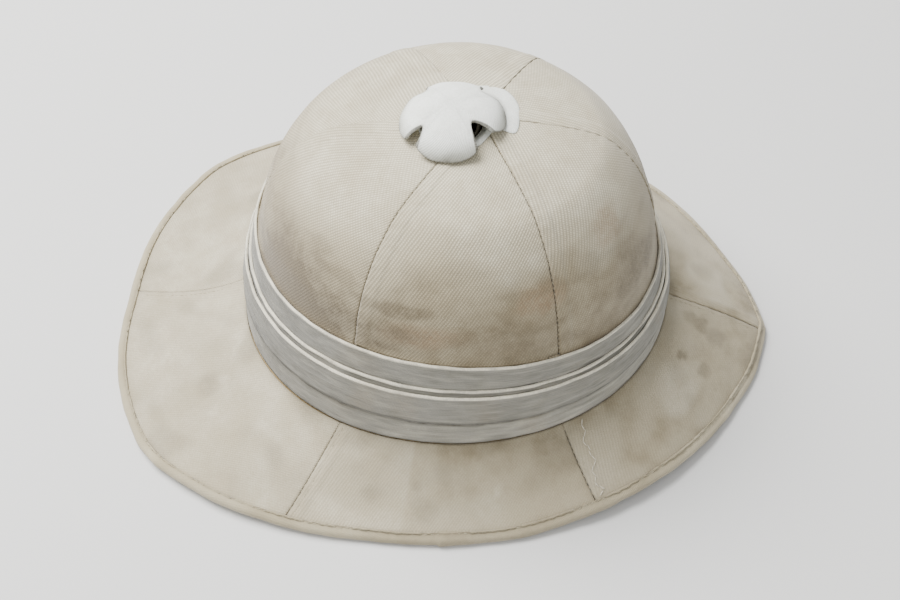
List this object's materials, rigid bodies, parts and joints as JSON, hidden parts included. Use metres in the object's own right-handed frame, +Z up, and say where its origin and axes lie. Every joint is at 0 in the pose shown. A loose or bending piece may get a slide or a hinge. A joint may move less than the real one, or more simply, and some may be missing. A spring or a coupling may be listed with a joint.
{
  "type": "pith helmet",
  "caption": "Sun helmet with a moulded shell, panelled cloth cover, bound brim, pleated band and domed ventilator.",
  "frame": {"origin": "on the floor plane under the centre of the helmet's box", "axes": "+Z up, +Y towards the back of the brim, -Y towards its front, +X towards the wearer's left"},
  "size_m": [0.2856, 0.3599, 0.1751],
  "materials": {
    "shell": "matt",
    "crown_cloth": "twill weave, faded",
    "brim_cloth": "twill weave, faded",
    "binding": "folded strip, worn",
    "pugaree": "fine plain weave, faded",
    "ventilator_cloth": "whitened cloth",
    "collar": "dull"
  },
  "bodies": {
    "root": {"shell_crown": "shell", "shell_brim": "shell", "crown_gore_1": "crown_cloth", "crown_gore_2": "crown_cloth", "crown_gore_3": "crown_cloth", "crown_gore_4": "crown_cloth", "crown_gore_5": "crown_cloth", "crown_gore_6": "crown_cloth", "brim_cover_1": "brim_cloth", "brim_cover_2": "brim_cloth", "brim_cover_3": "brim_cloth", "brim_cover_4": "brim_cloth", "brim_cover_5": "brim_cloth", "brim_cover_6": "brim_cloth", "brim_binding": "binding", "pugaree_bottom": "pugaree", "pugaree_wide": "pugaree", "pugaree_narrow": "pugaree", "pugaree_top": "pugaree", "ventilator_washer": "ventilator_cloth", "ventilator_cap": "ventilator_cloth", "ventilator_collar": "collar"}
  },
  "joints": []
}
